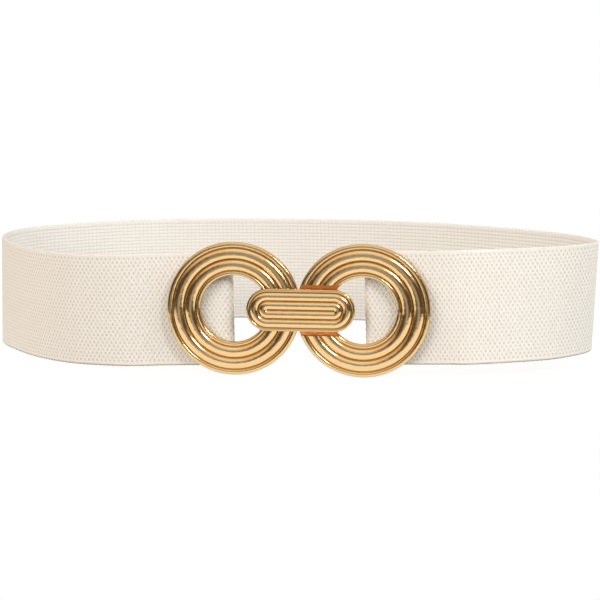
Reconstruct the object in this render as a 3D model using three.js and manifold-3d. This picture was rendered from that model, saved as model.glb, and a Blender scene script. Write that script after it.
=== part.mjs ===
// A wide elastic stretch belt, fastened: one strap of woven elastic webbing, folded round a bar
// behind each half of a cast buckle. Each half is a reeded ring. The left one carries a reeded
// link, whose hook goes through the right ring and catches it from behind.

import * as THREE from "three";
import { mergeVertices } from "three/addons/utils/BufferGeometryUtils.js";
import Module from "manifold-3d";

const wasm = await Module();
wasm.setup();

// Driving dimensions, in millimetres and degrees. +X runs along the buckle to the right, +Y to
// the back of the loop and +Z up. The strap behind the buckle lies on Y = 0.

// Strap
const loopWidth = 279.5; // the fastened loop from end to end
const loopDepth = 133; // from the strap behind the buckle to the back of the loop
const bandWidth = 50;
const bandThickness = 1.6;
const selvedgeBevel = 0.35; // takes the sharp corner off the woven edges
const flapLength = 27; // the end that is turned back and sewn down, from its fold
const flapGap = 0.3; // between the two layers where they are sewn
const flapMeets = 10; // behind the bar, where the flap comes to lie against the strap
const straightMargin = 4; // the strap runs straight this far past a ring's edge

// Buckle rings
const ringOverhang = 4.3; // how far a ring reaches past the strap's edges
const ringHole = 29.3;
const ringLap = 2.3; // the outlines of the two rings would cross by this much
const ringSplit = 0.6; // the gap left between them, under the link
const ringPlate = 2.2; // cast plate below the reeds
const ringReedRise = 1.7;
const ringDroop = 1.4; // the right ring hangs this much lower than the left one
const buckleShift = 8.3; // the buckle lies this far right of the middle of the loop

// Link
const linkSetback = 4.4; // how far its ends stop short of the ring centres, on average
const linkShift = 1.1; // and how far it is moved towards the right ring
const linkWidth = 18.7;
const linkPlate = 1.7;
const linkReedRise = 1.5;
const landMargin = 1.8; // the right ring is cut down this far above and below the link
const landGap = 0.3; // from the cut down part to the back of the link

// Bar and hook
const barDiameter = 2.8;
const barGap = 0.3; // between a bar and the strap folded round it
const foldSetback = 0.65; // the folds stop this far short of the ring centres
const ringGap = 0.4; // between a ring's flat back and the strap
const postGap = 0.5; // between the strap's edges and the posts that carry a bar
const postHeight = 2.3;
const hookWidth = 8;
const hookThickness = 1.6;
const hookPostWidth = 2.4;
const hookReach = 7; // how far the hook's tongue reaches behind the right ring
const hookGap = 0.4;

// Fineness of the round shapes
const ringSteps = 64;
const barSteps = 12;
const reedSteps = 4;
const endSteps = 14;
const foldSteps = 9;
const routeSamples = 900;
const longestStep = 16;
const widestTurn = 8;

// Sections of the reeds, from the outer edge inwards: each width is a share of the whole
// section, and each rise a share of the tallest reed's.
const ringReeds = [
  { width: 0.172, rise: 0.6 },
  { width: 0.343, rise: 1.0 },
  { width: 0.343, rise: 1.0 },
  { width: 0.142, rise: 0.6 },
];
const linkReeds = [
  { width: 0.166, rise: 0.5 },
  { width: 0.417, rise: 1.0 },
  { width: 0.417, rise: 1.0 },
];

// The strap's route along its upper edge. On the front rows, across is a share of the way from
// the ring's edge to the end of the loop, and on the back rows a share of half the loop's
// width. back is a share of the loop's depth. The lower edge lies off the upper one by
// footAcross and footBack, as shares of the strap's width, because the loop isn't quite upright.
const leftFrontRows = [
  { across: 0.146, back: -0.022, footAcross: 0.0, footBack: 0.02 },
  { across: 0.418, back: -0.002, footAcross: 0.0, footBack: 0.08 },
  { across: 0.657, back: 0.113, footAcross: 0.0, footBack: 0.07 },
  { across: 0.859, back: 0.305, footAcross: 0.0, footBack: 0.0 },
  { across: 0.975, back: 0.476, footAcross: -0.03, footBack: -0.02 },
];
const backRows = [
  { across: -1.0, back: 0.633, footAcross: -0.03, footBack: 0.0 },
  { across: -0.954, back: 0.768, footAcross: 0.0, footBack: 0.0 },
  { across: -0.766, back: 0.908, footAcross: 0.0, footBack: 0.0 },
  { across: -0.563, back: 0.983, footAcross: 0.0, footBack: 0.0 },
  { across: -0.347, back: 0.996, footAcross: 0.0, footBack: 0.0 },
  { across: -0.02, back: 0.96, footAcross: 0.0, footBack: 0.0 },
  { across: 0.304, back: 0.869, footAcross: 0.0, footBack: 0.0 },
  { across: 0.619, back: 0.686, footAcross: -0.02, footBack: 0.0 },
  { across: 0.916, back: 0.414, footAcross: -0.05, footBack: 0.02 },
];
const rightFrontRows = [
  { across: 0.994, back: 0.217, footAcross: -0.06, footBack: 0.1 },
  { across: 0.919, back: 0.15, footAcross: -0.06, footBack: 0.07 },
  { across: 0.674, back: 0.083, footAcross: 0.0, footBack: -0.01 },
  { across: 0.193, back: 0.023, footAcross: 0.0, footBack: -0.07 },
];

// Sizes that follow from the driving ones

const ringDiameter = bandWidth + 2 * ringOverhang;
const ringRadius = ringDiameter / 2;
const holeRadius = ringHole / 2;
const ringSpacing = ringDiameter - ringLap;
const ringBack = -bandThickness / 2 - ringGap; // Y of the flat back of both rings
const leftRingX = buckleShift - ringSpacing / 2;
const rightRingX = buckleShift + ringSpacing / 2;
const middleZ = bandWidth / 2;
const leftRingZ = middleZ + ringDroop / 2;
const rightRingZ = middleZ - ringDroop / 2;
const barRadius = barDiameter / 2;
const foldRadius = barRadius + barGap + bandThickness / 2; // to the middle of the webbing
const foldOutside = foldRadius + bandThickness / 2;
const flapY = bandThickness + flapGap;
const linkLength = ringSpacing - 2 * linkSetback;
const landHeight = ringPlate - landGap;
const tall = 4 * ringRadius; // larger than anything that is cut

// Turns a closed geometry into a solid that can be joined and cut.
function toSolid(geometry) {
  const bare = geometry.clone();
  bare.deleteAttribute("normal");
  bare.deleteAttribute("uv");
  const merged = mergeVertices(bare, 1e-4);
  const mesh = new wasm.Mesh({
    numProp: 3,
    vertProperties: merged.attributes.position.array,
    triVerts: new Uint32Array(merged.index.array),
  });
  return new wasm.Manifold(mesh);
}

// Turns a solid back into a geometry.
function toGeometry(solid) {
  const mesh = solid.getMesh();
  const geometry = new THREE.BufferGeometry();
  geometry.setAttribute("position", new THREE.BufferAttribute(mesh.vertProperties, 3));
  geometry.setIndex(new THREE.BufferAttribute(mesh.triVerts, 1));
  geometry.computeVertexNormals();
  return geometry;
}

// Skins a row of loops that have as many points each. The first and the last one are
// collapsed to a point or a line, which closes the ends.
function loft(loops) {
  const positions = [];
  const addTriangle = (a, b, c) => {
    if (a.equals(b) || b.equals(c) || c.equals(a)) return;
    positions.push(...a.toArray(), ...b.toArray(), ...c.toArray());
  };
  for (let i = 0; i + 1 < loops.length; i += 1) {
    const near = loops[i];
    const far = loops[i + 1];
    for (let j = 0; j < near.length; j += 1) {
      const next = (j + 1) % near.length;
      addTriangle(near[j], near[next], far[next]);
      addTriangle(near[j], far[next], far[j]);
    }
  }
  const geometry = new THREE.BufferGeometry();
  geometry.setAttribute("position", new THREE.Float32BufferAttribute(positions, 3));
  geometry.computeVertexNormals();
  return geometry;
}

// A block between two corners, with x, y and z given as [low, high].
function block(x, y, z) {
  const geometry = new THREE.BoxGeometry(x[1] - x[0], y[1] - y[0], z[1] - z[0]);
  geometry.translate((x[0] + x[1]) / 2, (y[0] + y[1]) / 2, (z[0] + z[1]) / 2);
  return geometry;
}

// The outline of a row of half-round reeds, as points of { inset, height } from the outer
// edge of the section to its inner end.
function reedOutline(reeds, sectionWidth, plate, tallestRise) {
  const points = [];
  let start = 0;
  for (const reed of reeds) {
    const width = reed.width * sectionWidth;
    for (let step = 0; step <= reedSteps; step += 1) {
      if (step === 0 && start > 0) continue;
      const angle = (Math.PI * step) / reedSteps;
      const inset = start + (width * (1 - Math.cos(angle))) / 2;
      const height = plate + reed.rise * tallestRise * Math.sin(angle);
      points.push({ inset, height });
    }
    start += width;
  }
  return points;
}

// Strap

// Where a row of the front tables lies, between the ring's edge and the loop's end.
function frontStation(row, ringX, side) {
  const start = ringX + side * (ringRadius + straightMargin);
  const end = (side * (loopWidth - bandThickness)) / 2;
  return station(start + row.across * (end - start), row.back * loopDepth, row);
}

function backStation(row) {
  const halfWidth = (loopWidth - bandThickness) / 2;
  return station(row.across * halfWidth, row.back * loopDepth, row);
}

// A point of the route: its place, and how far the lower edge lies off it.
function station(x, y, row = { footAcross: 0, footBack: 0 }) {
  return {
    top: new THREE.Vector3(x, y, 0),
    foot: new THREE.Vector3(row.footAcross * bandWidth, row.footBack * bandWidth, 0),
  };
}

// The strap's way from one fold round the loop to the other, in steps no longer than
// longestStep that turn by no more than widestTurn.
function loopStations(leftFoldX, rightFoldX) {
  const stations = [
    station(leftFoldX, 0),
    station(leftRingX - ringRadius / 2, 0),
    station(leftRingX - ringRadius - straightMargin, 0),
    ...leftFrontRows.map((row) => frontStation(row, leftRingX, -1)),
    ...backRows.map(backStation),
    ...rightFrontRows.map((row) => frontStation(row, rightRingX, 1)),
    station(rightRingX + ringRadius + straightMargin, 0),
    station(rightRingX + ringRadius / 2, 0),
    station(rightFoldX, 0),
  ];
  const route = new THREE.CatmullRomCurve3(stations.map((place) => place.top));
  const lean = new THREE.CatmullRomCurve3(stations.map((place) => place.foot));
  const kept = [];
  for (let i = 0; i <= routeSamples; i += 1) {
    const along = i / routeSamples;
    const top = route.getPoint(along);
    const tangent = route.getTangent(along);
    const last = kept.at(-1);
    const turned = last ? THREE.MathUtils.radToDeg(tangent.angleTo(last.tangent)) : 0;
    const far = last ? top.distanceTo(last.top) : Infinity;
    const ends = i === 0 || i === routeSamples;
    if (ends || far > longestStep || turned > widestTurn) {
      kept.push({ top, tangent, foot: lean.getPoint(along) });
    }
  }
  return kept;
}

// The fold round a bar and the sewn flap behind the strap, from the flap's end to the place
// where the strap starts. side is -1 on the left half and 1 on the right one.
function foldStations(foldX, side) {
  const stations = [];
  const flapEnd = foldX + side * (flapLength - foldOutside);
  const flapStart = foldX + side * flapMeets;
  const none = new THREE.Vector3();
  const add = (x, y, tangentX, tangentY) => {
    const tangent = new THREE.Vector3(tangentX, tangentY, 0).normalize();
    stations.push({ top: new THREE.Vector3(x, y, 0), tangent, foot: none });
  };
  const drop = 2 * foldRadius - flapY; // the flap comes down to the strap by this much
  add(flapEnd, flapY, -side, 0);
  add(flapStart, flapY, -side, 0);
  add((flapStart + foldX) / 2, flapY + drop / 2, -side, drop / flapMeets);
  for (let step = 0; step < foldSteps; step += 1) {
    const angle = (Math.PI * step) / foldSteps;
    const x = foldX - side * foldRadius * Math.sin(angle);
    const y = foldRadius + foldRadius * Math.cos(angle);
    add(x, y, -side * Math.cos(angle), -Math.sin(angle));
  }
  return stations;
}

// The webbing's section at a station, as a loop of points.
function bandSection(place) {
  const half = bandThickness / 2;
  const inner = half - selvedgeBevel;
  const corners = [
    [-half, selvedgeBevel],
    [-half, bandWidth - selvedgeBevel],
    [-inner, bandWidth],
    [inner, bandWidth],
    [half, bandWidth - selvedgeBevel],
    [half, selvedgeBevel],
    [inner, 0],
    [-inner, 0],
  ];
  const normal = new THREE.Vector3(place.tangent.y, -place.tangent.x, 0);
  return corners.map(([offset, z]) => {
    const point = place.top.clone().addScaledVector(normal, offset);
    point.addScaledVector(place.foot, 1 - z / bandWidth);
    return point.setZ(z);
  });
}

function bandRoute() {
  const leftFoldX = leftRingX - foldSetback - foldOutside;
  const rightFoldX = rightRingX + foldSetback + foldOutside;
  const rightFold = foldStations(rightFoldX, 1).reverse();
  for (const place of rightFold) place.tangent.negate();
  return [...foldStations(leftFoldX, -1), ...loopStations(leftFoldX, rightFoldX), ...rightFold];
}

function makeBand() {
  const sections = bandRoute().map(bandSection);
  const collapse = (section) => {
    const middle = new THREE.Vector3();
    for (const point of section) middle.addScaledVector(point, 1 / section.length);
    return section.map(() => middle);
  };
  return loft([collapse(sections[0]), ...sections, collapse(sections.at(-1))]);
}

// Buckle

// A reeded ring with its centre at x, z and its flat back on ringBack.
function makeRing(x, z) {
  const outline = reedOutline(ringReeds, ringRadius - holeRadius, ringPlate, ringReedRise);
  const points = [new THREE.Vector2(ringRadius, 0)];
  for (const { inset, height } of outline) {
    points.push(new THREE.Vector2(ringRadius - inset, -height));
  }
  points.push(new THREE.Vector2(holeRadius, 0), new THREE.Vector2(ringRadius, 0));
  const ring = new THREE.LatheGeometry(points.reverse(), ringSteps);
  return toSolid(ring.translate(x, ringBack, z));
}

// The bar that the strap is folded round, with the two posts that carry it behind the ring.
function makeBar(foldX) {
  const postStart = bandWidth / 2 + postGap;
  const postEnd = postStart + postHeight;
  const bar = new THREE.CylinderGeometry(barRadius, barRadius, postStart + postEnd, barSteps);
  bar.rotateX(Math.PI / 2).translate(foldX, foldRadius, middleZ);
  let solid = toSolid(bar);
  const width = [foldX - barRadius, foldX + barRadius];
  const depth = [ringBack - ringPlate / 2, foldRadius + barRadius];
  for (const [low, high] of [[-postEnd, -postStart], [postStart, postEnd]]) {
    solid = solid.add(toSolid(block(width, depth, [middleZ + low, middleZ + high])));
  }
  return solid;
}

// Puts a solid made round the link's own middle at its place between the two rings.
function placeOnLink(geometry) {
  const tilt = Math.asin(ringDroop / ringSpacing);
  return toSolid(geometry.rotateY(tilt).translate(buckleShift + linkShift, ringBack, middleZ));
}

// A stadium of half span and radius, at a height in front of the rings' back.
function stadium(halfSpan, radius, height) {
  const points = [];
  for (const [middle, turn] of [[halfSpan, -Math.PI / 2], [-halfSpan, Math.PI / 2]]) {
    for (let step = 0; step <= endSteps; step += 1) {
      const angle = turn + (Math.PI * step) / endSteps;
      const x = middle + radius * Math.cos(angle);
      const z = radius === 0 ? 0 : radius * Math.sin(angle);
      points.push(new THREE.Vector3(radius === 0 ? middle : x, -height, z));
    }
  }
  return points;
}

// The reeded link, whose reeds run round it and meet in a groove along its middle.
function makeLink() {
  const radius = linkWidth / 2;
  const halfSpan = linkLength / 2 - radius;
  const back = ringPlate;
  const loops = [stadium(halfSpan, 0, back), stadium(halfSpan, radius, back)];
  for (const { inset, height } of reedOutline(linkReeds, radius, linkPlate, linkReedRise)) {
    const left = Math.max(radius - inset, 0);
    loops.push(stadium(halfSpan, left < 1e-6 ? 0 : left, back + height));
  }
  return placeOnLink(loft(loops));
}

// The hook behind the link: a post through the right ring's hole, and a tongue behind the ring.
function makeHook() {
  const linkX = buckleShift + linkShift;
  const holeEdge = Math.sqrt(holeRadius ** 2 - (hookWidth / 2 + ringDroop) ** 2);
  const postLeft = rightRingX - holeEdge + hookGap - linkX;
  const postRight = postLeft + hookPostWidth;
  const tongueTip = postLeft - hookGap - hookReach;
  const tongueBack = hookGap + hookThickness;
  const height = [-hookWidth / 2, hookWidth / 2];
  const post = block([postLeft, postRight], [-ringPlate - linkPlate / 2, tongueBack], height);
  const tongue = block([tongueTip, postRight - hookThickness / 2], [hookGap, tongueBack], height);
  return placeOnLink(post).add(placeOnLink(tongue));
}

// Everything on one side of the plane between the two rings.
function besideSplit(side) {
  const edge = buckleShift + (side * ringSplit) / 2;
  const width = side < 0 ? [edge - tall, edge] : [edge, edge + tall];
  return toSolid(block(width, [-tall, tall], [middleZ - tall, middleZ + tall]));
}

function makeLeftHalf() {
  const foldX = leftRingX - foldSetback - foldOutside;
  const ring = makeRing(leftRingX, leftRingZ).intersect(besideSplit(-1));
  return toGeometry(ring.add(makeLink()).add(makeHook()).add(makeBar(foldX)));
}

// The right ring is cut down to a flat land where the link lies over it.
function makeRightHalf() {
  const foldX = rightRingX + foldSetback + foldOutside;
  const landHalf = linkWidth / 2 + landMargin;
  const landRight = rightRingX - buckleShift - linkShift;
  const land = block([-linkLength / 2, landRight], [-tall, -landHeight], [-landHalf, landHalf]);
  const ring = makeRing(rightRingX, rightRingZ).intersect(besideSplit(1));
  return toGeometry(ring.subtract(placeOnLink(land)).add(makeBar(foldX)));
}

// The belt

function makePiece(name, geometry, color, roughness, metalness) {
  const material = new THREE.MeshStandardMaterial({ color, roughness, metalness });
  const mesh = new THREE.Mesh(geometry, material);
  mesh.name = name;
  return mesh;
}

// The belt stands on both rings, which reach below the strap, and on the strap's lower edge. It
// is first turned until the rings are level, and then leans back until that edge touches.
function turnToRest(belt) {
  const levelling = Math.asin(ringDroop / ringSpacing);
  const level = (point) => point.applyAxisAngle(new THREE.Vector3(0, -1, 0), levelling);
  const ringFoot = level(new THREE.Vector3(rightRingX, ringBack, rightRingZ - ringRadius));
  const leans = bandRoute().map((place) => {
    const foot = level(place.top.clone().add(place.foot)).sub(ringFoot);
    return foot.y > ringRadius ? Math.atan2(foot.z, foot.y) : Infinity;
  });
  belt.rotation.set(-Math.min(...leans), -levelling, 0);
}

const belt = new THREE.Group();
belt.add(
  makePiece("elastic_band", makeBand(), 0xf1e9dd, 0.9, 0),
  makePiece("left_buckle_half", makeLeftHalf(), 0xe0ab62, 0.22, 1),
  makePiece("right_buckle_half", makeRightHalf(), 0xe0ab62, 0.22, 1),
);
turnToRest(belt);

// The origin is at the middle of the belt's foot, on the surface that it stands on.
const standing = new THREE.Group();
standing.add(belt);
standing.updateMatrixWorld(true);
const bounds = new THREE.Box3().setFromObject(standing, true);
belt.position.set(
  -(bounds.min.x + bounds.max.x) / 2,
  -(bounds.min.y + bounds.max.y) / 2,
  -bounds.min.z,
);

export default standing;
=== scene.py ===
# An elastic stretch belt, fastened in a loop, with a gold tone buckle: two reeded rings and a reeded
# link. Lengths are in millimetres in the belt's own frame, where +X runs along the buckle, +Y to the
# back of the loop and +Z up. Each finished mesh is then put in the CAD's frame, in metres.
import math

import bmesh
import bpy
import numpy as np
from mathutils import Matrix, Vector


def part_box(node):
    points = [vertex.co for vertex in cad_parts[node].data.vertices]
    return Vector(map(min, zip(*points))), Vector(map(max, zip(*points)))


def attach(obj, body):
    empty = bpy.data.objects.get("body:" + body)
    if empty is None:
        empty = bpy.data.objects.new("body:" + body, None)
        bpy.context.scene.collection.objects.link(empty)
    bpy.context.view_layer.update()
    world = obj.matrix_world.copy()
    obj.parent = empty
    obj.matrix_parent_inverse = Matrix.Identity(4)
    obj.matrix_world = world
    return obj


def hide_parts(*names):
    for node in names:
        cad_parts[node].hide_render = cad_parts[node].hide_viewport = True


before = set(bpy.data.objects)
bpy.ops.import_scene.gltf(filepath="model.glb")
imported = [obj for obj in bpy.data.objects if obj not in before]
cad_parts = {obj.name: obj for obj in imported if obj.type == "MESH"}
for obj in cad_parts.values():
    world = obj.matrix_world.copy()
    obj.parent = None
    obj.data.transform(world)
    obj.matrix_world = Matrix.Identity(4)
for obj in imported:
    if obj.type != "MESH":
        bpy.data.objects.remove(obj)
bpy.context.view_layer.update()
print("frame loaded:", ", ".join(sorted(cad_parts)))

mm = 0.001  # in metres
sharpAngle = 40  # degrees, past which an edge is shaded as an edge

# Sizes that the pieces share

buckle = {
    "shift": 8.3,  # right of the middle of the loop
    "ringRadius": 29.3,
    "holeRadius": 14.65,
    "ringSpacing": 56.3,
    "ringDroop": 1.4,  # the right ring hangs this much lower
    "ringSplit": 0.6,  # the gap between the rings, under the link
    "ringPlate": 2.2,
    "ringReedRise": 1.7,
    "ringBack": -1.2,  # the flat back of both rings, as a place along Y
    "softening": 0.32,  # how far the plating rounds the reeds' edges and grooves
    "linkLength": 47.5,
    "linkShift": 1.1,
    "linkWidth": 18.7,
    "linkPlate": 1.7,
    "linkReedRise": 1.5,
    "landMargin": 1.8,  # the flat land round the link, on the right ring
    "landHeight": 1.9,
    "barRadius": 1.4,
    "barFlare": 0.35,
    "barIntoPost": 0.5,
    "postWidth": 2.8,
    "postHeight": 2.3,
    "postClearance": 0.5,
    "postBevel": 0.45,
    "hookWidth": 8.0,
    "hookThickness": 1.6,
    "hookPostWidth": 2.4,
    "hookReach": 7.0,
    "hookGap": 0.4,
    "hookBend": 1.5,
    "hookBevel": 0.3,
}

strap = {
    "width": 50.0,
    "thickness": 1.6,
    "loopWidth": 279.5,
    "loopDepth": 133.0,
    "loopSoftening": 3.0,
    "straightMargin": 4.0,  # straight past a ring's edge
    "foldSetback": 0.65,
    "foldRadius": 2.5,  # to the middle of the webbing
    "foldSoftening": 0.5,
    "flapLength": 27.0,
    "flapGap": 0.3,
    "flapMeets": 10.0,
    "dotPitch": 2.0,  # between the pits of one row, along the strap
    "rowPitch": 1.62,  # between two rows of pits
    "dotRows": 29,
    "plainFrom": 0.9,  # the weave starts this share of a row outside the first row
    "pitDepth": 0.16,
    "threadRise": 0.6,  # of the threads between two pits, as a share of the pits' depth
    "ribDepth": 0.1,  # the grid on the inner face
    "ribShares": (0.6, 0.4),  # of the grid's rows and columns
    "selvedge": (0.45, 0.9, 1.5),  # heights of the points on the plain edge
    "edgeCorner": 0.1,
    "edgeFlat": 0.62,  # as a share of the thickness
    "scallop": 0.2,  # of the woven edges
    "scallopReach": 1.0,
}

# Reeds from a casting's rim inwards, as a share of its width and of the full rise
ringReeds = ((0.172, 0.6), (0.343, 1.0), (0.343, 1.0), (0.142, 0.6))
linkReeds = ((0.166, 0.5), (0.417, 1.0), (0.417, 1.0))

# Points that the curves are drawn with
detail = {
    "route": 60,  # between two places on the strap's route
    "fold": 24,
    "stitchRound": 8,
    "stitchAlong": 7,
    "reed": 40,
    "ring": 288,
    "linkBend": 61,
    "linkStraight": 31,
    "bar": 48,
    "barFlare": 8,
    "hookBend": 9,
    "hookTip": 13,
    "postBevel": 4,
    "hookBevel": 3,
}

middleZ = strap["width"] / 2
leftRingX = buckle["shift"] - buckle["ringSpacing"] / 2
rightRingX = buckle["shift"] + buckle["ringSpacing"] / 2
leftRingZ = middleZ + buckle["ringDroop"] / 2
rightRingZ = middleZ - buckle["ringDroop"] / 2
levelling = math.asin(buckle["ringDroop"] / buckle["ringSpacing"])
foldOutside = strap["foldRadius"] + strap["thickness"] / 2
leftFold = leftRingX - strap["foldSetback"] - foldOutside
rightFold = rightRingX + strap["foldSetback"] + foldOutside
firstRow = (strap["width"] - (strap["dotRows"] - 1) * strap["rowPitch"]) / 2
weaveStart = firstRow - strap["plainFrom"] * strap["rowPitch"]  # the edge is plain below it
weaveFull = weaveStart + strap["rowPitch"] / 2


# Small tools

def linearColour(hexCode):
    parts = [int(hexCode[i : i + 2], 16) / 255 for i in (1, 3, 5)]
    return [c / 12.92 if c <= 0.04045 else ((c + 0.055) / 1.055) ** 2.4 for c in parts] + [1.0]


def smoothStep(low, high, x):
    t = np.clip((x - low) / (high - low), 0, 1)
    return t * t * (3 - 2 * t)


def hump(angle):  # 1 at every whole turn, 0 between two
    return 0.5 + 0.5 * np.cos(angle)


def fullTurn(count):
    return 2 * math.pi * np.arange(count) / count


def evenly(path, spacing):  # points at even steps along the first two columns
    steps = np.hypot(*np.diff(path[:, :2], axis=0).T)
    length = np.concatenate([[0], np.cumsum(steps)])
    at = np.linspace(0, length[-1], int(round(length[-1] / spacing)) + 1)
    return np.stack([np.interp(at, length, column) for column in path.T], 1)


def bell(spread, spacing):  # weights that smooth a line of points
    reach = int(4 * spread / spacing)
    weights = np.exp(-0.5 * (np.arange(-reach, reach + 1) * spacing / spread) ** 2)
    return reach, weights / weights.sum()


def settled(mesh, name, matrix, materials):  # an object in the CAD's frame from a mesh in millimetres
    mesh.transform(Matrix.Scale(mm, 4) @ matrix)
    for material in materials:
        mesh.materials.append(material)
    mesh.shade_smooth()
    mesh.set_sharp_from_angle(angle=math.radians(sharpAngle))
    obj = bpy.data.objects.new(name, mesh)
    bpy.context.scene.collection.objects.link(obj)
    return obj


def meshOf(points, faces):
    mesh = bpy.data.meshes.new("mesh")
    mesh.from_pydata(np.asarray(points).tolist(), [], [list(f) for f in faces])
    return mesh


def meshFrom(work):
    mesh = bpy.data.meshes.new("mesh")
    work.to_mesh(mesh)
    work.free()
    return mesh


def tubeFaces(base, rows, sides):  # rows of points round a line, closed at both ends
    faces = [tuple(base + j for j in reversed(range(sides)))]
    faces.append(tuple(base + (rows - 1) * sides + j for j in range(sides)))
    for i in range(rows - 1):
        low = base + i * sides
        high = low + sides
        for j in range(sides):
            n = (j + 1) % sides
            faces.append((low + j, low + n, high + n, high + j))
    return faces


# The strap's route. across is a share of the way from a ring's edge to the end of the loop on the front
# rows, and of half the loop's width on the back rows. back is a share of the loop's depth. The lower
# edge lies off the upper one by footAcross and footBack, as shares of the strap's width.

routeColumns = ("across", "back", "footAcross", "footBack")
leftFrontRows = (
    (0.146, -0.022, 0.0, 0.02),
    (0.418, -0.002, 0.0, 0.08),
    (0.657, 0.113, 0.0, 0.07),
    (0.859, 0.305, 0.0, 0.0),
    (0.975, 0.476, -0.03, -0.02),
)
backRows = (
    (-1.0, 0.633, -0.03, 0.0),
    (-0.954, 0.768, 0.0, 0.0),
    (-0.766, 0.908, 0.0, 0.0),
    (-0.563, 0.983, 0.0, 0.0),
    (-0.347, 0.996, 0.0, 0.0),
    (-0.02, 0.96, 0.0, 0.0),
    (0.304, 0.869, 0.0, 0.0),
    (0.619, 0.686, -0.02, 0.0),
    (0.916, 0.414, -0.05, 0.02),
)
rightFrontRows = (
    (0.994, 0.217, -0.06, 0.1),
    (0.919, 0.15, -0.06, 0.07),
    (0.674, 0.083, 0.0, -0.01),
    (0.193, 0.023, 0.0, -0.07),
)


def catmullRom(points):  # through all the points, and flat through repeated ones
    points = np.asarray(points, float)
    ends = np.vstack([2 * points[0] - points[1], points, 2 * points[-1] - points[-2]])
    t = np.arange(detail["route"])[:, None] / detail["route"]
    apart = 1e-4  # nearer points count as one
    pieces = []
    for i in range(len(points) - 1):
        p0, p1, p2, p3 = ends[i : i + 4]
        d0, d1, d2 = (np.linalg.norm(b - a) ** 0.5 for a, b in ((p0, p1), (p1, p2), (p2, p3)))
        d1 = d1 if d1 >= apart else 1.0
        d0 = d0 if d0 >= apart else d1
        d2 = d2 if d2 >= apart else d1
        m1 = ((p1 - p0) / d0 - (p2 - p0) / (d0 + d1) + (p2 - p1) / d1) * d1
        m2 = ((p2 - p1) / d1 - (p3 - p1) / (d1 + d2) + (p3 - p2) / d2) * d1
        bend = (-3 * p1 + 3 * p2 - 2 * m1 - m2) * t**2 + (2 * p1 - 2 * p2 + m1 + m2) * t**3
        pieces.append(p1 + m1 * t + bend)
    return np.vstack([*pieces, points[-1:]])


def softened(path, spread, spacing):
    reach, weights = bell(spread, spacing)
    before = 2 * path[0] - path[reach:0:-1]
    after = 2 * path[-1] - path[-2 : -reach - 2 : -1]
    padded = np.vstack([before, path, after])
    return np.stack([np.convolve(column, weights, "valid") for column in padded.T], 1)


def routePoints(rows, start, end):
    for row in rows:
        share = dict(zip(routeColumns, row))
        foot = (share["footAcross"] * strap["width"], share["footBack"] * strap["width"])
        yield start + share["across"] * (end - start), share["back"] * strap["loopDepth"], *foot


def loopPath():
    half = (strap["loopWidth"] - strap["thickness"]) / 2
    beside = buckle["ringRadius"] + strap["straightMargin"]
    leftStart, rightStart = leftRingX - beside, rightRingX + beside
    behind = buckle["ringRadius"] / 2
    points = [(x, 0, 0, 0) for x in (leftFold, leftRingX - behind, leftStart)]
    points += routePoints(leftFrontRows, leftStart, -half)
    points += routePoints(backRows, 0, half)
    points += routePoints(rightFrontRows, rightStart, half)
    points += [(x, 0, 0, 0) for x in (rightStart, rightRingX + behind, rightFold)]
    points = np.array(points)
    return np.hstack([catmullRom(points[:, :2]), catmullRom(points[:, 2:])])


def foldPath(foldX, side):  # from the flap's end, round the bar, to where the strap starts
    radius = strap["foldRadius"]
    flapY = strap["thickness"] + strap["flapGap"]
    path = [(foldX + side * (strap["flapLength"] - foldOutside), flapY)]
    path.append((foldX + side * strap["flapMeets"], flapY))
    for a in np.linspace(0, math.pi, detail["fold"]):
        path.append((foldX - side * radius * math.sin(a), radius + radius * math.cos(a)))
    return np.array([(x, y, 0, 0) for x, y in path])


def strapRoute():  # rows of x, y, and the lower edge's offset along x and y
    fine = 0.2
    loop = softened(evenly(loopPath(), fine), strap["loopSoftening"], fine)
    whole = np.vstack([foldPath(leftFold, -1)[:-1], loop, foldPath(rightFold, 1)[::-1][1:]])
    return softened(evenly(whole, fine), strap["foldSoftening"], fine)


# Standing: both rings reach below the strap, so the belt stands on them and leans back until its lower
# edge touches too. The CAD's left half shows where that puts it in the CAD's frame.

def restLean(route):
    footX = route[:, 0] + route[:, 2]
    away = route[:, 1] + route[:, 3] - buckle["ringBack"]
    ringFoot = rightRingX * math.sin(levelling) + (rightRingZ - buckle["ringRadius"]) * math.cos(levelling)
    rise = footX * math.sin(levelling) - ringFoot
    behind = away > buckle["ringRadius"]
    return np.arctan2(rise[behind], away[behind]).min()


def standing(route):
    turn = Matrix.Rotation(-restLean(route), 4, "X") @ Matrix.Rotation(-levelling, 4, "Y")
    rim = []
    for a in np.radians(np.arange(360)):
        for y in (buckle["ringBack"], buckle["ringBack"] - buckle["ringPlate"]):
            x = leftRingX + buckle["ringRadius"] * math.cos(a)
            rim.append(turn @ Vector((x, y, leftRingZ + buckle["ringRadius"] * math.sin(a))))
    reach = strap["width"] + buckle["postClearance"] + buckle["postHeight"]
    post = turn @ Vector((leftFold, strap["foldRadius"] + buckle["barRadius"], reach))
    low, high = (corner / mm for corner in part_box("left_buckle_half"))
    foot = (low.x - min(p.x for p in rim), high.y - post.y, low.z - min(p.z for p in rim))
    return Matrix.Translation(foot) @ turn


# Strap, woven in one mesh, with a point at every pit and every thread between two pits

def weaveHeights(along, across):  # how far the two faces sink into the webbing
    woven = smoothStep(weaveStart, weaveFull, np.minimum(across, strap["width"] - across))
    turns = 2 * math.pi * along / strap["dotPitch"]
    lift = math.pi * (across - firstRow) / strap["rowPitch"]
    pits = np.maximum(np.cos(turns) * np.cos(lift), -strap["threadRise"])
    rows, columns = strap["ribShares"]
    grid = rows * hump(2 * lift) + columns * hump(turns)
    return strap["pitDepth"] * woven * pits, strap["ribDepth"] * woven * grid


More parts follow.
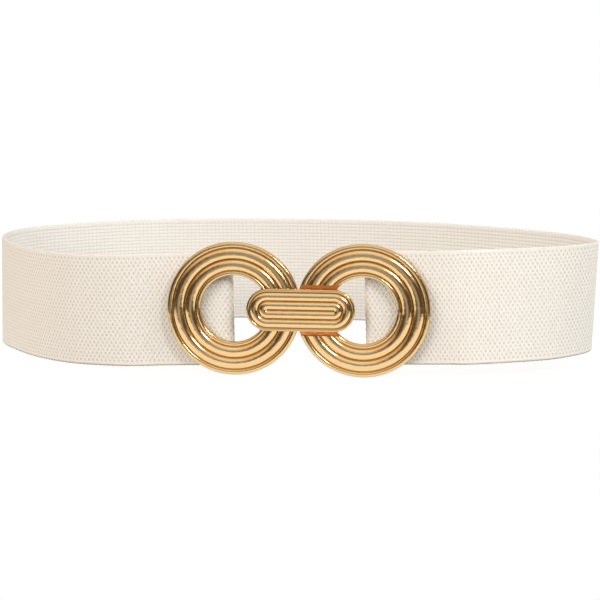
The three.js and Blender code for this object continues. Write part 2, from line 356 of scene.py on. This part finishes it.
def strapSection():  # one way round the webbing: offset from its middle, height, and 1 on the inner face
    half, width = strap["thickness"] / 2, strap["width"]
    woven = firstRow + strap["rowPitch"] / 2 * np.arange(2 * strap["dotRows"] - 1)
    plain = strap["selvedge"]
    heights = [*plain, *woven, *(width - v for v in reversed(plain))]
    edge, corner = strap["edgeFlat"] * half, strap["edgeCorner"]
    section = [(-half, v, 0) for v in heights]
    section += [(-edge, width - corner, 0), (0, width, 0), (edge, width - corner, 1)]
    section += [(half, v, 1) for v in reversed(heights)]
    section += [(edge, corner, 1), (0, 0, 0), (-edge, corner, 0)]
    return np.array(section)


def makeStrap(route, matrix, materials):
    step = strap["dotPitch"] / 2
    route = evenly(route, step)
    tangent = np.gradient(route[:, :2], axis=0)
    tangent /= np.linalg.norm(tangent, axis=1)[:, None]
    normal = np.stack([tangent[:, 1], -tangent[:, 0]], 1)
    offset, across, inner = strapSection().T
    u, v = np.meshgrid(step * np.arange(len(route)), across, indexing="ij")
    outerSink, innerSink = weaveHeights(u, v)
    onFace = np.isclose(np.abs(offset), strap["thickness"] / 2)
    out = offset + onFace * np.where(inner > 0.5, -innerSink, outerSink)
    reach = strap["scallopReach"]
    end = np.where(across < reach, -1.0, np.where(across > strap["width"] - reach, 1.0, 0.0))
    scallop = strap["scallop"] * end * hump(2 * math.pi * u / strap["dotPitch"])
    share = 1 - v / strap["width"]
    x = route[:, 0:1] + normal[:, 0:1] * out + route[:, 2:3] * share
    y = route[:, 1:2] + normal[:, 1:2] * out + route[:, 3:4] * share
    points = np.stack([x, y, v - scallop], -1).reshape(-1, 3)
    rows, sides = u.shape
    index = np.arange(rows * sides).reshape(rows, sides)
    beside = np.roll(index, -1, axis=1)
    quads = np.stack([index[:-1], beside[:-1], beside[1:], index[1:]], -1).reshape(-1, 4)
    mesh = meshOf(points, quads.tolist() + [index[0, ::-1].tolist(), index[-1].tolist()])
    inside = (inner + np.roll(inner, -1) > 0.5).astype(np.int32)
    slots = np.concatenate([np.tile(inside, rows - 1), [0, 0]])
    mesh.polygons.foreach_set("material_index", slots)
    corners = np.concatenate([quads.ravel(), index[0, ::-1], index[-1]])
    flat = np.stack([u, v], -1).reshape(-1, 2)[corners]
    mesh.uv_layers.new(name="weaveMap").uv.foreach_set("vector", flat.astype(np.float32).ravel())
    return settled(mesh, "elastic_webbing", matrix, materials)


# Two rows of lockstitch sew each turned back end down, behind the rings

sewing = {
    "fromFold": (10.5, 17.5),
    "pitch": 3.0,
    "length": 2.5,
    "radius": 0.27,
    "taper": 0.6,  # the smaller, the blunter the stitch's ends
    "flatness": 0.8,
    "margin": 2.6,
    "sink": 0.12,
}


def makeStitches(matrix, material):
    sides, rings = detail["stitchRound"], detail["stitchAlong"]
    count = int((strap["width"] - 2 * sewing["margin"]) / sewing["pitch"]) + 1
    first = (strap["width"] - (count - 1) * sewing["pitch"]) / 2
    flapFace = strap["flapGap"] + 1.5 * strap["thickness"] - sewing["sink"]
    frontFace = sewing["sink"] - strap["thickness"] / 2
    rows = []
    for start, side in ((leftFold + foldOutside, -1), (rightFold - foldOutside, 1)):
        for away in sewing["fromFold"]:
            rows += [(start + side * away, flapFace), (start + side * away, frontFace)]
    points, faces = [], []
    for x, y in rows:
        for k in range(count):
            faces += tubeFaces(len(points), rings, sides)
            for t in math.pi * (np.arange(rings) + 0.5) / rings:
                z = first + k * sewing["pitch"] - sewing["length"] / 2 * math.cos(t)
                r = sewing["radius"] * math.sin(t) ** sewing["taper"]
                for a in fullTurn(sides):
                    points.append((x + r * math.cos(a), y + sewing["flatness"] * r * math.sin(a), z))
    return settled(meshOf(points, faces), "end_stitches", matrix, [material])


# Buckle castings. Their plating is coloured by a mark on each point: 0 on the reeds, grooveMark down in
# the grooves, where it paints shade, and 1 on cut faces, where it paints an orange reflection. The painted
# shade in the grooves is full up to the first of grooveHeights, a share of the reeds' rise, and gone above
# the second.

grooveMark = 0.7
grooveHeights = (0.1, 0.75)


def reedLine(reeds, width, plate, rise):  # half round reeds, as inset from the rim and height
    points, start = [], 0.0
    for share, lift in reeds:
        angles = np.linspace(0, math.pi, detail["reed"])
        insets = start + share * width * (1 - np.cos(angles)) / 2
        points.append(np.stack([insets, plate + lift * rise * np.sin(angles)], 1))
        start += share * width
    return np.vstack(points)


def roundedSection(path, turn, longest):  # a closed section, rounded, with points where it bends
    step = 0.04
    closed = evenly(np.vstack([path, path[:1]]), step)[:-1]
    reach, weights = bell(buckle["softening"], step)
    padded = np.vstack([closed[-reach:], closed, closed[:reach]])
    closed = np.stack([np.convolve(column, weights, "valid") for column in padded.T], 1)
    ahead = np.roll(closed, -1, axis=0) - closed
    heading = np.unwrap(np.arctan2(ahead[:, 1], ahead[:, 0]))
    kept, last = [0], 0
    for i in range(1, len(closed)):
        turned = abs(heading[i] - heading[last]) > math.radians(turn)
        if turned or np.linalg.norm(closed[i] - closed[last]) > longest:
            kept.append(i)
            last = i
    return closed[kept]


def sweptLoops(name, section, outline, matrix, material, plate, rise):
    loops = np.array([outline(inset, height) for inset, height in section])
    rows, count = loops.shape[:2]
    index = np.arange(rows * count).reshape(rows, count)
    below = np.roll(index, -1, axis=0)
    quads = np.stack([index, np.roll(index, -1, 1), np.roll(below, -1, 1), below], -1)
    mesh = meshOf(loops.reshape(-1, 3), quads.reshape(-1, 4))
    # painted shade: grooveMark down in the grooves, fading out up the reeds
    marks = grooveMark * (1 - smoothStep(*grooveHeights, (section[:, 1] - plate) / rise))
    groove = mesh.attributes.new("groove", "FLOAT", "POINT")
    groove.data.foreach_set("value", np.repeat(marks, count).astype(np.float32))
    work = bmesh.new()
    work.from_mesh(mesh)
    bmesh.ops.remove_doubles(work, verts=work.verts, dist=1e-4)
    bmesh.ops.recalc_face_normals(work, faces=work.faces)
    return settled(meshFrom(work), name, matrix, [material])


def makeRing(name, x, z, matrix, material):
    angles = fullTurn(detail["ring"])
    plate, rise = buckle["ringPlate"], buckle["ringReedRise"]
    width = buckle["ringRadius"] - buckle["holeRadius"]
    path = np.vstack([[(0, 0)], reedLine(ringReeds, width, plate, rise), [(width, 0)]])
    section = roundedSection(path, turn=7, longest=2.5)

    def outline(inset, height):
        radius = buckle["ringRadius"] - inset
        y = np.full(len(angles), buckle["ringBack"] - height)
        return np.stack([x + radius * np.cos(angles), y, z + radius * np.sin(angles)], 1)

    return sweptLoops(name, section, outline, matrix, material, plate, rise)


def onLink():  # from the link's own middle to the belt's frame
    place = Vector((buckle["shift"] + buckle["linkShift"], buckle["ringBack"], middleZ))
    return Matrix.Translation(place) @ Matrix.Rotation(levelling, 4, "Y")


def makeLink(matrix, material):
    half = buckle["linkWidth"] / 2
    straight = buckle["linkLength"] / 2 - half
    plate, rise = buckle["linkPlate"], buckle["linkReedRise"]
    reeds = reedLine(linkReeds, half, plate, rise)
    mirrored = np.stack([2 * half - reeds[::-1, 0], reeds[::-1, 1]], 1)
    path = np.vstack([[(0, 0)], reeds, mirrored, [(2 * half, 0)]])
    whole = roundedSection(path, turn=5, longest=1.2)
    side = whole[whole[:, 0] <= half]
    front = side[side[:, 1] > plate / 2]
    back = side[side[:, 1] <= plate / 2]
    front = front[np.argsort(front[:, 0])]
    back = back[np.argsort(-back[:, 0])]
    section = np.vstack([[(half, back[0, 1])], back, front, [(half, front[-1, 1])]])
    bend = np.linspace(-math.pi / 2, math.pi / 2, detail["linkBend"])
    run = np.linspace(straight, -straight, detail["linkStraight"])[1:-1]

    def outline(inset, height):  # a stadium round the link's middle line
        radius = max(half - inset, 0.0)
        right = np.stack([straight + radius * np.cos(bend), radius * np.sin(bend)], 1)
        top = np.stack([run, np.full(len(run), radius)], 1)
        line = np.vstack([right, top, -right, -top])
        return np.stack([line[:, 0], np.full(len(line), -buckle["ringPlate"] - height), line[:, 1]], 1)

    return sweptLoops("buckle_link", section, outline, matrix @ onLink(), material, plate, rise)


def bevelled(work, edges, offset, segments):
    bmesh.ops.bevel(work, geom=edges, offset=offset, segments=segments, profile=0.5, affect="EDGES")


def block(name, spans, matrix, materials=(), bevel=0.0):  # spans are low and high along X, Y and Z
    work = bmesh.new()
    bmesh.ops.create_cube(work, size=1.0)
    low, high = np.array(spans, float).T
    work.transform(Matrix.Translation((low + high) / 2) @ Matrix.Diagonal((*(high - low), 1)))
    if bevel:
        bevelled(work, list(work.edges), bevel, detail["postBevel"])
    return settled(meshFrom(work), name, matrix, materials)


def cutAway(obj, spans, matrix):
    cutter = block("cutter", spans, matrix)
    cut = obj.modifiers.new("cut", "BOOLEAN")
    cut.operation = "DIFFERENCE"
    cut.solver = "EXACT"
    cut.object = cutter
    shaped = obj.evaluated_get(bpy.context.evaluated_depsgraph_get())
    mesh = bpy.data.meshes.new_from_object(shaped)
    obj.modifiers.clear()
    obj.data = mesh
    mesh.set_sharp_from_angle(angle=math.radians(sharpAngle))
    bpy.data.objects.remove(cutter)
    markCut(mesh, spans, matrix)


# Cut faces get the mark 1, which the plating paints with an orange reflection
def markCut(mesh, spans, matrix):
    near = 0.01  # a point this near to a cut face lies on it
    back = (Matrix.Scale(mm, 4) @ matrix).inverted()
    places = np.array([back @ vertex.co for vertex in mesh.vertices])
    low, high = np.array(spans, float).T
    within = ((places > low - near) & (places < high + near)).all(1)
    onFace = (np.minimum(abs(places - low), abs(places - high)) < near).any(1)
    groove = mesh.attributes["groove"].data
    marks = np.zeros(len(places), np.float32)
    groove.foreach_get("value", marks)
    marks[within & onFace] = 1.0
    groove.foreach_set("value", marks)


def joined(parts):  # all in the first one
    work = bmesh.new()
    for part in parts:
        work.from_mesh(part.data)
    work.to_mesh(parts[0].data)
    work.free()
    for part in parts[1:]:
        bpy.data.objects.remove(part)
    parts[0].data.set_sharp_from_angle(angle=math.radians(sharpAngle))
    return parts[0]


def makeBar(name, foldX, matrix, material):  # the bar that the strap is folded round, and its posts
    inner = strap["width"] / 2 + buckle["postClearance"]
    outer = inner + buckle["postHeight"]
    radius, flare, sides = buckle["barRadius"], buckle["barFlare"], detail["bar"]
    curve = np.linspace(0, math.pi / 2, detail["barFlare"])
    rise = np.concatenate([[inner + buckle["barIntoPost"]], inner - flare * np.sin(curve)])
    swell = np.concatenate([[radius + flare], radius + flare * (1 - np.sin(curve))])
    heights = np.concatenate([-rise, rise[::-1]])
    radii = np.concatenate([swell, swell[::-1]])
    points = []
    for h, r in zip(heights, radii):
        for a in fullTurn(sides):
            points.append((foldX + r * math.cos(a), strap["foldRadius"] + r * math.sin(a), middleZ + h))
    mesh = meshOf(points, tubeFaces(0, len(heights), sides))
    parts = [settled(mesh, name, matrix, [material])]
    half = buckle["postWidth"] / 2
    depth = (buckle["ringBack"] - buckle["ringPlate"] / 2, strap["foldRadius"] + radius)
    for low, high in ((inner, outer), (-outer, -inner)):
        spans = ((foldX - half, foldX + half), depth, (middleZ + low, middleZ + high))
        parts.append(block("post", spans, matrix, [material], buckle["postBevel"]))
    return joined(parts)


def makeHook(matrix, material):  # a strip, bent from the link through the right ring and behind it
    halfChord = buckle["hookWidth"] / 2 + buckle["ringDroop"]
    edge = math.sqrt(buckle["holeRadius"] ** 2 - halfChord**2)
    postLeft = rightRingX - edge + buckle["hookGap"] - buckle["shift"] - buckle["linkShift"]
    postRight = postLeft + buckle["hookPostWidth"]
    tip = postLeft - buckle["hookGap"] - buckle["hookReach"]
    front = -buckle["ringPlate"] - buckle["linkPlate"] / 2
    back = buckle["hookGap"] + buckle["hookThickness"]
    bend, nose = buckle["hookBend"], buckle["hookThickness"] / 2
    line = [(postRight, front)]
    for a in np.linspace(0, math.pi / 2, detail["hookBend"]):
        line.append((postRight - bend + bend * math.cos(a), back - bend + bend * math.sin(a)))
    for a in np.linspace(0, math.pi, detail["hookTip"]):
        line.append((tip + nose - nose * math.sin(a), back - nose + nose * math.cos(a)))
    line += [(postLeft, buckle["hookGap"]), (postLeft, front)]
    half = buckle["hookWidth"] / 2
    work = bmesh.new()
    face = work.faces.new([work.verts.new((x, y, -half)) for x, y in line])
    grown = bmesh.ops.extrude_face_region(work, geom=[face])["geom"]
    moved = [g for g in grown if isinstance(g, bmesh.types.BMVert)]
    bmesh.ops.translate(work, verts=moved, vec=(0, 0, 2 * half))
    bmesh.ops.recalc_face_normals(work, faces=work.faces)
    rims = [e for e in work.edges if abs(e.verts[0].co.z - e.verts[1].co.z) < half]
    bevelled(work, rims, buckle["hookBevel"], detail["hookBevel"])
    return settled(meshFrom(work), "hook", matrix @ onLink(), [material])


def makeBuckle(matrix, material):
    far = 4 * buckle["ringRadius"]  # past every piece of the buckle
    gap = buckle["ringSplit"] / 2
    left = makeRing("left_ring", leftRingX, leftRingZ, matrix, material)
    right = makeRing("right_ring", rightRingX, rightRingZ, matrix, material)
    cutAway(left, ((buckle["shift"] - gap, far), (-far, far), (-far, far)), matrix)
    cutAway(right, ((-far, buckle["shift"] + gap), (-far, far), (-far, far)), matrix)
    landEnd = rightRingX - buckle["shift"] - buckle["linkShift"]
    landHalf = buckle["linkWidth"] / 2 + buckle["landMargin"]
    land = ((-buckle["linkLength"] / 2, landEnd), (-far, -buckle["landHeight"]), (-landHalf, landHalf))
    cutAway(right, land, matrix @ onLink())
    parts = [left, right, makeLink(matrix, material), makeHook(matrix, material)]
    parts.append(makeBar("left_bar", leftFold, matrix, material))
    parts.append(makeBar("right_bar", rightFold, matrix, material))
    return parts


# Materials

def addNode(tree, kind, inputs=None, **settings):  # gives the node's first output in use
    node = tree.nodes.new("ShaderNode" + kind)
    for name, value in settings.items():
        setattr(node, name, value)
    for key, value in (inputs or {}).items():
        if isinstance(value, bpy.types.NodeSocket):
            tree.links.new(value, node.inputs[key])
        else:
            node.inputs[key].default_value = value
    return next((socket for socket in node.outputs if socket.enabled), None)


def maths(tree, operation, *values):
    return addNode(tree, "Math", dict(enumerate(values)), operation=operation)


def ranged(tree, value, start, end, low=0.0, high=1.0, kind="SMOOTHSTEP"):
    ends = {"Value": value, "From Min": start, "From Max": end, "To Min": low, "To Max": high}
    return addNode(tree, "MapRange", ends, interpolation_type=kind)


def blended(tree, share, *colours):  # from one colour to the other, each a hex code or a socket
    first, second = (linearColour(c) if isinstance(c, str) else c for c in colours)
    return addNode(tree, "Mix", {0: share, 6: first, 7: second}, data_type="RGBA")


def newMaterial(name, settings):
    material = bpy.data.materials.new(name)
    material.use_nodes = True
    shader = material.node_tree.nodes["Principled BSDF"]
    for key, value in settings.items():
        shader.inputs[key].default_value = value
    return material, material.node_tree, shader


# Gold tone plating on a polished zinc casting: warm and mirror-like, with soft wobbles where it was
# buffed, browner down in the grooves as painted shade, and orange in the corner round the link and on the
# other cut faces as a painted reflection, where gold faces gold.

plating = {
    "colour": "#F2CE98",
    # painted shade down in the grooves
    "grooveColour": "#D2B27E",
    # painted orange reflection on the cut faces, where gold faces gold
    "cornerReflectionColour": "#FFA056",
    "roughness": (0.13, 0.22),
    "blotch": 6.0,
    "blotchContrast": (0.3, 0.75),
    "wobble": 2.6,
    "wobbleHeight": 0.09,
    "buffing": 0.4,
    "buffingHeight": 0.0015,
}


def platedMetal():
    material, tree, shader = newMaterial("gold_plated_zinc", {"Metallic": 1.0})
    place = addNode(tree, "TexCoord").node.outputs["Object"]
    # the mark picks the colour: painted shade in the grooves, a painted orange reflection on cut faces
    groove = addNode(tree, "Attribute", attribute_name="groove").node.outputs["Fac"]
    tint = addNode(tree, "ValToRGB", {0: groove})
    stops = tint.node.color_ramp.elements
    stops[0].color = linearColour(plating["colour"])
    stops[1].color = linearColour(plating["cornerReflectionColour"])
    stops.new(grooveMark).color = linearColour(plating["grooveColour"])
    blotch = addNode(tree, "TexNoise", {"Vector": place, "Scale": 1 / (plating["blotch"] * mm)})
    dull = ranged(tree, blotch, *plating["blotchContrast"], *plating["roughness"], kind="LINEAR")
    wave = addNode(tree, "TexNoise", {"Vector": place, "Scale": 1 / (plating["wobble"] * mm), "Detail": 1})
    marks = addNode(tree, "TexNoise", {"Vector": place, "Scale": 1 / (plating["buffing"] * mm)})
    soft = addNode(tree, "Bump", {"Height": wave, "Distance": plating["wobbleHeight"] * mm})
    fine = {"Height": marks, "Distance": plating["buffingHeight"] * mm, "Normal": soft}
    tree.links.new(tint, shader.inputs["Base Color"])
    tree.links.new(dull, shader.inputs["Roughness"])
    tree.links.new(addNode(tree, "Bump", fine), shader.inputs["Normal"])
    return material


# Woven elastic, polyester over rubber: a matt, soft, off-white cloth. The face has rows of small pits
# between the threads, each row set off by half a pitch, and the inner side shows a plain square grid. The
# pits and the grid's lines get painted shade, and so do both edges. The real yarns are finer than the
# fibres here, which are bundles of them.

webbing = {
    "thread": "#F6F3EE",
    # painted shade colour of the pits
    "pit": "#DBD2C4",
    "innerThread": "#EFEEEC",
    # painted shade colour of the inner grid's sunk lines
    "innerGridShade": "#D7D3CC",
    # painted grey shade along the upper edge
    "topEdgeShade": "#CECDC9",
    "topEdgeShadeFrom": (0.7, 0.2),  # distances from the upper edge where its painted shade starts and is full
    # painted beige shade along the lower edge, which faces down; undersideShadeFrom gives where it starts
    # and is full
    "undersideShade": "#D2C7B7",
    "undersideShadeFrom": (1.2, 0.3),
    "roughness": 0.85,
    "specular": 0.3,
    "sheen": 0.1,
    "pitWave": (-0.15, 0.95),  # of the weave's wave, where a pit starts and is deepest
    "pitShade": 0.8,  # of the way to the painted shade colour of a pit
    "pitHeight": 0.14,
    "uneven": (0.8, 1.15),  # least and most of a pit's full strength
    "unevenContrast": (0.3, 0.7),
    "unevenScale": 0.55,  # per millimetre
    "gridHeight": 0.05,
    "gridRows": (2.0, 1.0),  # sharpness and strength
    "gridColumns": (4.0, 0.7),
    "fibre": 0.16,
    "fibreLength": 0.9,
    "fibreHeight": 0.03,
    "fibreShade": 0.16,
    "patchShade": 0.1,
    "patchScale": 0.08,  # per millimetre
}


# The pits' mask paints shade into the colour and also sinks the bump
def faceWeave(tree, turns, lift):  # 1 in the pits, 0 on the threads between them
    wave = maths(tree, "MULTIPLY", maths(tree, "COSINE", turns), maths(tree, "COSINE", lift))
    return ranged(tree, wave, *webbing["pitWave"])


# The grid's lines, sunk between the rows of threads, get painted shade
def gridWeave(tree, turns, lift):  # 1 in the lines of the grid, with the rows stronger than the columns
    doubled = maths(tree, "MULTIPLY", lift, 2.0)
    lines = []
    for angle, (sharpness, strength) in ((doubled, webbing["gridRows"]), (turns, webbing["gridColumns"])):
        share = ranged(tree, maths(tree, "COSINE", angle), -1.0, 1.0, kind="LINEAR")
        lines.append(maths(tree, "MULTIPLY", maths(tree, "POWER", share, sharpness), strength))
    return maths(tree, "MAXIMUM", *lines)


def wovenElastic(name, weave, light, recessShade, height):
    look = {"Roughness": webbing["roughness"], "Specular IOR Level": webbing["specular"]}
    material, tree, shader = newMaterial(name, {**look, "Sheen Weight": webbing["sheen"]})
    flat = addNode(tree, "UVMap", uv_map="weaveMap")
    along, across = addNode(tree, "SeparateXYZ", {0: flat}).node.outputs[:2]
    turns = maths(tree, "MULTIPLY", along, 2 * math.pi / strap["dotPitch"])
    lift = maths(tree, "MULTIPLY", maths(tree, "SUBTRACT", across, firstRow), math.pi / strap["rowPitch"])
    fromTop = maths(tree, "SUBTRACT", strap["width"], across)
    woven = ranged(tree, maths(tree, "MINIMUM", across, fromTop), weaveStart, weaveFull)
    pits = maths(tree, "MULTIPLY", weave(tree, turns, lift), woven)
    uneven = addNode(tree, "TexNoise", {"Vector": flat, "Scale": webbing["unevenScale"]})
    strength = ranged(tree, uneven, *webbing["unevenContrast"], *webbing["uneven"], kind="LINEAR")
    pits = maths(tree, "MULTIPLY", pits, strength)
    size = (1 / webbing["fibre"], 1 / webbing["fibreLength"], 1.0)
    stretched = addNode(tree, "Mapping", {"Vector": flat, "Scale": size})
    fibres = addNode(tree, "TexNoise", {"Vector": stretched, "Scale": 1.0})
    patches = addNode(tree, "TexNoise", {"Vector": flat, "Scale": webbing["patchScale"]})
    # painted shade in the pits, or in the grid's lines, over random tone from fibres and patches
    shade = maths(tree, "MULTIPLY_ADD", fibres, webbing["fibreShade"], -webbing["fibreShade"] / 2)
    shade = maths(tree, "MULTIPLY_ADD", patches, webbing["patchShade"], shade)
    shade = maths(tree, "MULTIPLY_ADD", pits, webbing["pitShade"], shade)
    cloth = blended(tree, shade, light, recessShade)
    # painted shade along the upper and the lower edge
    for distance, edge in ((fromTop, "topEdgeShade"), (across, "undersideShade")):
        share = ranged(tree, distance, *webbing[edge + "From"], kind="LINEAR")
        cloth = blended(tree, share, cloth, webbing[edge])
    tree.links.new(cloth, shader.inputs["Base Color"])
    relief = maths(tree, "MULTIPLY", pits, -height)
    relief = maths(tree, "MULTIPLY_ADD", fibres, webbing["fibreHeight"], relief)
    tree.links.new(addNode(tree, "Bump", {"Height": relief, "Distance": mm}), shader.inputs["Normal"])
    return material


# Spun polyester thread: matt, tightly twisted and slightly lighter than the strap

thread = {
    "colours": ("#FBF5EA", "#DED2C0"),
    "roughness": 0.7,
    "twist": 4.0,
    "twistBend": 0.6,
    "twistHeight": 0.05,
}


def sewingThread():
    material, tree, shader = newMaterial("spun_polyester_thread", {"Roughness": thread["roughness"]})
    place = addNode(tree, "TexCoord").node.outputs["Object"]
    look = {"Vector": place, "Scale": 1 / (thread["twist"] * mm), "Distortion": thread["twistBend"]}
    twist = addNode(tree, "TexWave", look, bands_direction="DIAGONAL").node.outputs["Fac"]
    tree.links.new(blended(tree, twist, *thread["colours"]), shader.inputs["Base Color"])
    bump = addNode(tree, "Bump", {"Height": twist, "Distance": thread["twistHeight"] * mm})
    tree.links.new(bump, shader.inputs["Normal"])
    return material


# Studio: a white board in a light tent, with a camera and three soft lamps, which are placed by degrees
# to the right of the belt's front and up

view = {
    "right": 5.5,
    "up": 9.15,
    "away": 1000.0,
    "aim": (3.6, 1.7, 22.6),
    "roll": 0.2,
    "lens": 128.6,
    "sensor": 36.0,
}

# The two fills light the cloth from both sides and don't show in the metal
lamps = {
    "key": {
        "right": 45,
        "up": 35,
        "away": 1100,
        "turned": 60,
        "size": (190, 300),
        "watts": 3.6,
        "colour": "#FFFFFF",
        "inMetal": True,
    },
    "left fill": {
        "right": -46,
        "up": 26,
        "away": 1500,
        "turned": 0,
        "size": (900, 900),
        "watts": 14.0,
        "colour": "#FFF9F0",
        "inMetal": False,
    },
    "right fill": {
        "right": 78,
        "up": 26,
        "away": 1500,
        "turned": 0,
        "size": (900, 900),
        "watts": 9.6,
        "colour": "#F2FDFF",
        "inMetal": False,
    },
}

# The tent is bright above and behind the belt, dim in front, and dim and warm at both sides. Each change
# runs between two places on a ball round the belt, as parts of its radius along X, Y or Z. The camera
# itself sees plain white.
tent = {
    "above": 0.96,
    "aboveFrom": (0.2, 0.65),
    "behind": 1.0,
    "behindFrom": (-0.4, 0.4),
    "front": 0.4,
    "frontFrom": (-0.6, -0.1),
    "frontBelow": 0.65,
    "sides": 0.22,  # share of the light that is left at both sides
    "sidesFrom": (0.08, 0.42),
    "sideColour": "#FFE9D2",
}


def towards(right, up):
    right, up = math.radians(right), math.radians(up)
    return Vector((math.sin(right) * math.cos(up), -math.cos(right) * math.cos(up), math.sin(up)))


def aimed(obj, way, distance, target=(0, 0, 0), roll=0.0):
    bpy.context.scene.collection.objects.link(obj)
    obj.location = (Vector(target) + way * distance) * mm
    obj.rotation_mode = "QUATERNION"
    turn = Matrix.Rotation(math.radians(roll), 3, "Z").to_quaternion()
    obj.rotation_quaternion = (-way).to_track_quat("-Z", "Y") @ turn


def makeCamera():
    camera = bpy.data.objects.new("camera", bpy.data.cameras.new("camera"))
    aimed(camera, towards(view["right"], view["up"]), view["away"], view["aim"], view["roll"])
    camera.data.lens = view["lens"]
    camera.data.sensor_width = view["sensor"]
    bpy.context.scene.camera = camera


def makeLamps():
    for name, lamp in lamps.items():
        light = bpy.data.lights.new(name, "AREA")
        light.shape = "RECTANGLE"
        light.size, light.size_y = (length * mm for length in lamp["size"])
        light.energy = lamp["watts"]
        light.color = linearColour(lamp["colour"])[:3]
        obj = bpy.data.objects.new(name, light)
        obj.visible_glossy = lamp["inMetal"]
        aimed(obj, towards(lamp["right"], lamp["up"]), lamp["away"], roll=lamp["turned"])


def makeTent():
    world = bpy.data.worlds.new("tent")
    bpy.context.scene.world = world
    world.use_nodes = True
    tree = world.node_tree
    tree.nodes.clear()
    direction = addNode(tree, "TexCoord").node.outputs["Generated"]
    x, y, z = addNode(tree, "SeparateXYZ", {0: direction}).node.outputs
    front = ranged(tree, z, *tent["frontFrom"], tent["frontBelow"], tent["front"])
    wall = ranged(tree, y, *tent["behindFrom"], front, tent["behind"])
    aside = maths(tree, "ABSOLUTE", x)
    wall = maths(tree, "MULTIPLY", wall, ranged(tree, aside, *tent["sidesFrom"], 1.0, tent["sides"]))
    strength = ranged(tree, z, *tent["aboveFrom"], wall, tent["above"])
    colour = blended(tree, ranged(tree, aside, *tent["sidesFrom"]), "#FFFFFF", tent["sideColour"])
    glow = addNode(tree, "Background", {"Color": colour, "Strength": strength})
    plain = addNode(tree, "Background", {"Color": (1, 1, 1, 1)})
    seen = addNode(tree, "LightPath").node.outputs["Is Camera Ray"]
    addNode(tree, "OutputWorld", {0: addNode(tree, "MixShader", {0: seen, 1: glow, 2: plain})})


# Board of matt acrylic: a grey sheet that glows, so that it looks white and takes almost no shadow

acrylic = {
    "spans": ((-175, 175), (-165, 170)),
    "colours": ("#6C6C6C", "#686868"),
    "grainScale": 30.0,  # per metre
    "glow": 0.88,
    "roughness": 0.9,
    "specular": 0.1,
}


def makeBoard():
    look = {"Roughness": acrylic["roughness"], "Specular IOR Level": acrylic["specular"]}
    look.update({"Emission Color": (1, 1, 1, 1), "Emission Strength": acrylic["glow"]})
    material, tree, shader = newMaterial("white_acrylic", look)
    place = addNode(tree, "TexCoord").node.outputs["Object"]
    grain = addNode(tree, "TexNoise", {"Vector": place, "Scale": acrylic["grainScale"]})
    tree.links.new(blended(tree, grain, *acrylic["colours"]), shader.inputs["Base Color"])
    (left, right), (near, far) = acrylic["spans"]
    corners = [(left, near, 0), (right, near, 0), (right, far, 0), (left, far, 0)]
    board = settled(meshOf(corners, [(0, 1, 2, 3)]), "board", Matrix.Identity(4), [material])
    board.visible_diffuse = False  # or it would light the strap's foot more than its top


makeCamera()
makeLamps()
makeTent()
makeBoard()
bpy.context.scene.view_settings.view_transform = "Standard"
print("studio set")

route = strapRoute()
place = standing(route)
outerLook = (webbing["thread"], webbing["pit"], webbing["pitHeight"])
innerLook = (webbing["innerThread"], webbing["innerGridShade"], webbing["gridHeight"])
face = wovenElastic("woven_elastic_face", faceWeave, *outerLook)
inside = wovenElastic("woven_elastic_inside", gridWeave, *innerLook)
band = makeStrap(route, place, [face, inside])
stitches = makeStitches(place, sewingThread())
print("strap woven and sewn")

castings = makeBuckle(place, platedMetal())
print("buckle cast")

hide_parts("elastic_band")
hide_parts("left_buckle_half")
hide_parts("right_buckle_half")
for piece in (band, stitches):
    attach(piece, "root")
for piece in castings:
    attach(piece, "root")

print("pieces ride on the frame")
